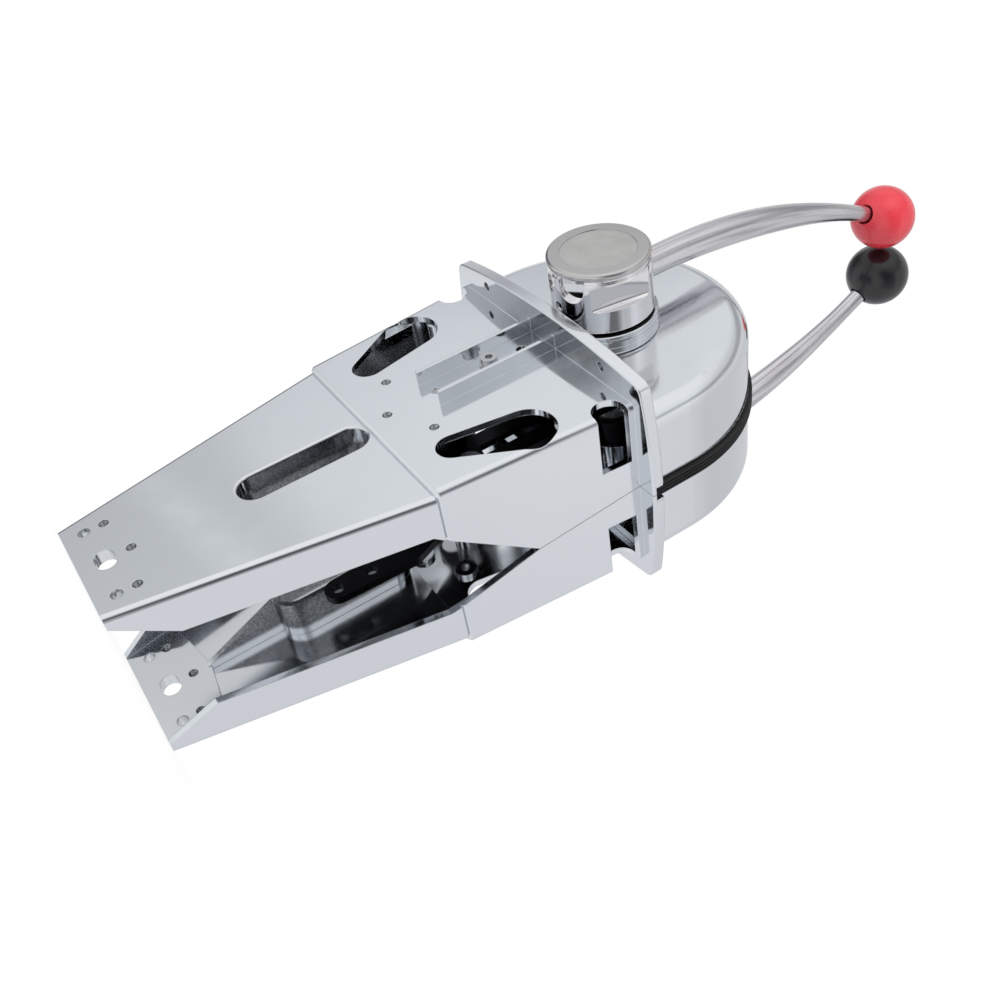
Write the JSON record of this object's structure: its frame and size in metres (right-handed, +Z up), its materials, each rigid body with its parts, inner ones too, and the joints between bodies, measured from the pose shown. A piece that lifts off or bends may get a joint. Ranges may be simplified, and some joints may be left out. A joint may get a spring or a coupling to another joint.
{
  "type": "boat throttle control lever",
  "caption": "Top-mount twin-lever boat control: chromed domed housing with flange and long cable bracket, curved levers with ball knobs, and inner cranks, links and cable arms.",
  "frame": {"origin": "centre of the flange underside, the face that seats on the console", "axes": "+Z up through the dome and the levers, X along the lever shafts with the throttle lever on +X, Y across the flange's long way"},
  "size_m": [0.163, 0.1624, 0.4846],
  "materials": {
    "chrome": "polished chrome plate over cast and turned metal",
    "red_knob": "gloss",
    "black_knob": "gloss",
    "seal_rubber": "matt",
    "disc": "satin",
    "steel": "turned stainless",
    "plate_steel": "zinc-plated pressed steel",
    "spring_steel": "rolled strip",
    "acetal": "machined acetal",
    "brake_pad": "moulded friction lining",
    "black_steel": "black-oxide pressed steel"
  },
  "bodies": {
    "housing": {"detent_plug": "steel", "detent_plunger": "steel", "friction_leaf_shift": "spring_steel", "friction_leaf_throttle": "spring_steel", "friction_pad_shift": "brake_pad", "friction_pad_throttle": "brake_pad", "friction_screw_shift": "steel", "friction_screw_throttle": "steel", "housing_shift": "chrome", "housing_throttle": "chrome", "pivot_clip_shift": "steel", "pivot_clip_throttle": "steel", "pivot_post_shift": "steel", "pivot_post_throttle": "steel", "rim_seal": "seal_rubber", "shaft_bush_shift": "acetal", "shaft_bush_throttle": "acetal", "tie_bolts": "steel"},
    "throttle_lever": {"hub_throttle": "chrome", "hub_cap_throttle": "chrome", "cap_disc_throttle": "disc", "hub_seal_throttle": "seal_rubber", "set_screw_throttle": "steel", "lever_rod_throttle": "chrome", "knob_throttle": "red_knob", "lever_shaft_throttle": "steel", "shaft_clip_throttle": "steel", "crank_throttle": "black_steel", "crank_pin_throttle": "steel", "crank_pin_clip_throttle": "steel"},
    "throttle_link": {"link_throttle": "black_steel"},
    "throttle_arm": {"cable_arm_throttle": "black_steel", "arm_pin_throttle": "steel", "arm_pin_clip_throttle": "steel"},
    "shift_lever": {"hub_shift": "chrome", "hub_cap_shift": "chrome", "cap_disc_shift": "disc", "hub_seal_shift": "seal_rubber", "set_screw_shift": "steel", "lever_rod_shift": "chrome", "knob_shift": "black_knob", "lever_shaft_shift": "steel", "shaft_clip_shift": "steel", "crank_shift": "black_steel", "crank_pin_shift": "steel", "crank_pin_clip_shift": "steel", "detent_disc": "plate_steel"},
    "shift_link": {"link_shift": "black_steel"},
    "shift_arm": {"cable_arm_shift": "black_steel", "arm_pin_shift": "steel", "arm_pin_clip_shift": "steel"}
  },
  "joints": [
    {"name": "throttle_lever_turn", "type": "hinge", "parent": "housing", "child": "throttle_lever", "pos_m": [0, 0, 0.037], "axis": [1, 0, 0], "range_deg": [-35, 35]},
    {"name": "throttle_crank_pin_turn", "type": "hinge", "parent": "throttle_lever", "child": "throttle_link", "pos_m": [0, 0.022, 0.037], "axis": [1, 0, 0], "range_deg": [-36, 36]},
    {"name": "throttle_arm_turn", "type": "hinge", "parent": "housing", "child": "throttle_arm", "pos_m": [0, 0, -0.06], "axis": [1, 0, 0], "range_deg": [-36, 36]},
    {"name": "shift_lever_turn", "type": "hinge", "parent": "housing", "child": "shift_lever", "pos_m": [0, 0, 0.037], "axis": [1, 0, 0], "range_deg": [-33, 33]},
    {"name": "shift_crank_pin_turn", "type": "hinge", "parent": "shift_lever", "child": "shift_link", "pos_m": [0, -0.022, 0.037], "axis": [1, 0, 0], "range_deg": [-34, 34]},
    {"name": "shift_arm_turn", "type": "hinge", "parent": "housing", "child": "shift_arm", "pos_m": [0, 0, -0.06], "axis": [1, 0, 0], "range_deg": [-34, 34]}
  ],
  "couplings": [
    {"joint": "throttle_crank_pin_turn", "follows": "throttle_lever_turn", "ratio": -1},
    {"joint": "throttle_arm_turn", "follows": "throttle_lever_turn", "ratio": 1},
    {"joint": "shift_crank_pin_turn", "follows": "shift_lever_turn", "ratio": -1},
    {"joint": "shift_arm_turn", "follows": "shift_lever_turn", "ratio": 1}
  ]
}
